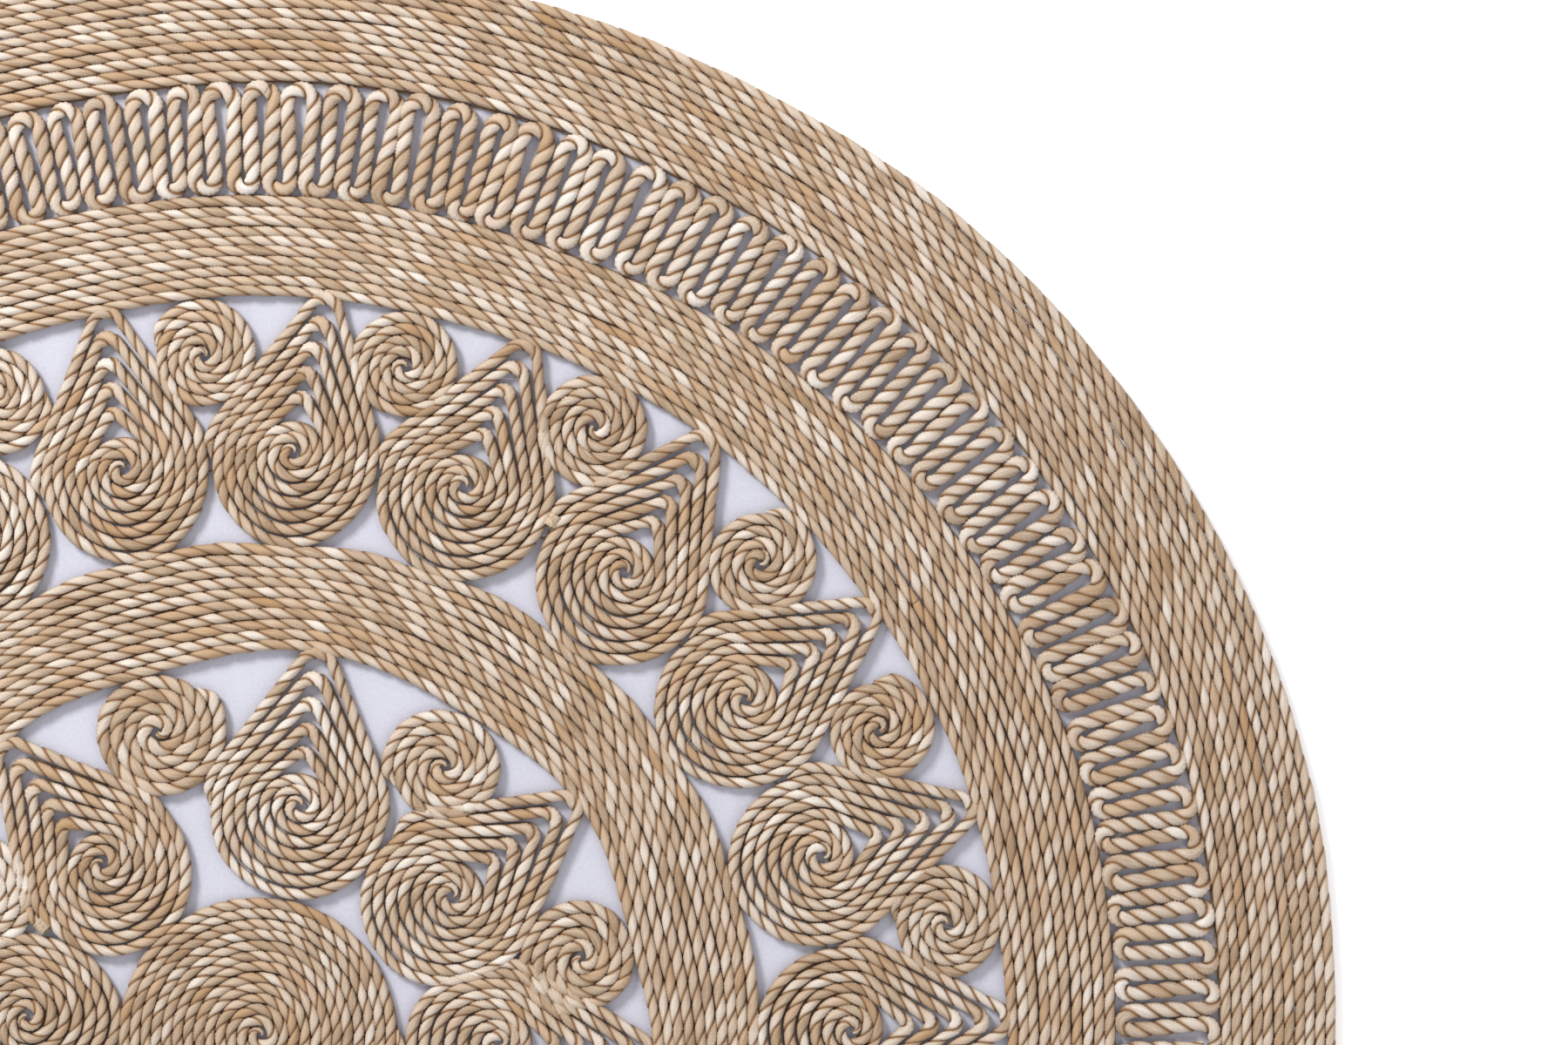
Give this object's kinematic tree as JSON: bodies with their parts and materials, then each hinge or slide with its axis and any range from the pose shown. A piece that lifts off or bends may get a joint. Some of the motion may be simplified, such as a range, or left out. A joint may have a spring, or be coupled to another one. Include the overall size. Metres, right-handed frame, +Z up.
{
  "type": "round jute rope area rug",
  "caption": "Flat round area rug of coiled jute rope: border, openwork folded ring, bands, pointed coils and small round coils.",
  "frame": {"origin": "centre of the rug on the plane it lies on", "axes": "+Z up out of the rug's face; X and Y lie in the floor, +X through the first row's middle on the right as seen from above with +Y at the back"},
  "size_m": [1.4999, 1.4998, 0.0096],
  "materials": {
    "rope": "matte natural jute rope",
    "folded_rope": "matte natural jute rope, loosely laid",
    "twine": "matte natural jute twine"
  },
  "bodies": {
    "root": {"border": "rope", "border_seam": "twine", "centre_coil": "rope", "centre_coil_seam": "twine", "folded_ring": "folded_rope", "folded_ring_inner_seam": "twine", "folded_ring_outer_seam": "twine", "inner_band": "rope", "inner_band_seam": "twine", "inner_pointed_coil_01": "rope", "inner_pointed_coil_02": "rope", "inner_pointed_coil_03": "rope", "inner_pointed_coil_04": "rope", "inner_pointed_coil_05": "rope", "inner_pointed_coil_06": "rope", "inner_pointed_coil_07": "rope", "inner_pointed_coil_08": "rope", "inner_pointed_seams": "twine", "inner_ring_inner_seam": "twine", "inner_ring_outer_seam": "twine", "inner_ring_ties": "twine", "inner_round_coil_01": "rope", "inner_round_coil_02": "rope", "inner_round_coil_03": "rope", "inner_round_coil_04": "rope", "inner_round_coil_05": "rope", "inner_round_coil_06": "rope", "inner_round_coil_07": "rope", "inner_round_coil_08": "rope", "inner_round_seams": "twine", "middle_band": "rope", "middle_band_seam": "twine", "outer_pointed_coil_01": "rope", "outer_pointed_coil_02": "rope", "outer_pointed_coil_03": "rope", "outer_pointed_coil_04": "rope", "outer_pointed_coil_05": "rope", "outer_pointed_coil_06": "rope", "outer_pointed_coil_07": "rope", "outer_pointed_coil_08": "rope", "outer_pointed_coil_09": "rope", "outer_pointed_coil_10": "rope", "outer_pointed_coil_11": "rope", "outer_pointed_coil_12": "rope", "outer_pointed_coil_13": "rope", "outer_pointed_coil_14": "rope", "outer_pointed_coil_15": "rope", "outer_pointed_coil_16": "rope", "outer_pointed_coil_17": "rope", "outer_pointed_coil_18": "rope", "outer_pointed_coil_19": "rope", "outer_pointed_coil_20": "rope", "outer_pointed_coil_21": "rope", "outer_pointed_seams": "twine", "outer_ring_inner_seam": "twine", "outer_ring_outer_seam": "twine", "outer_ring_ties": "twine", "outer_round_coils": "rope", "outer_round_seams": "twine"}
  },
  "joints": []
}
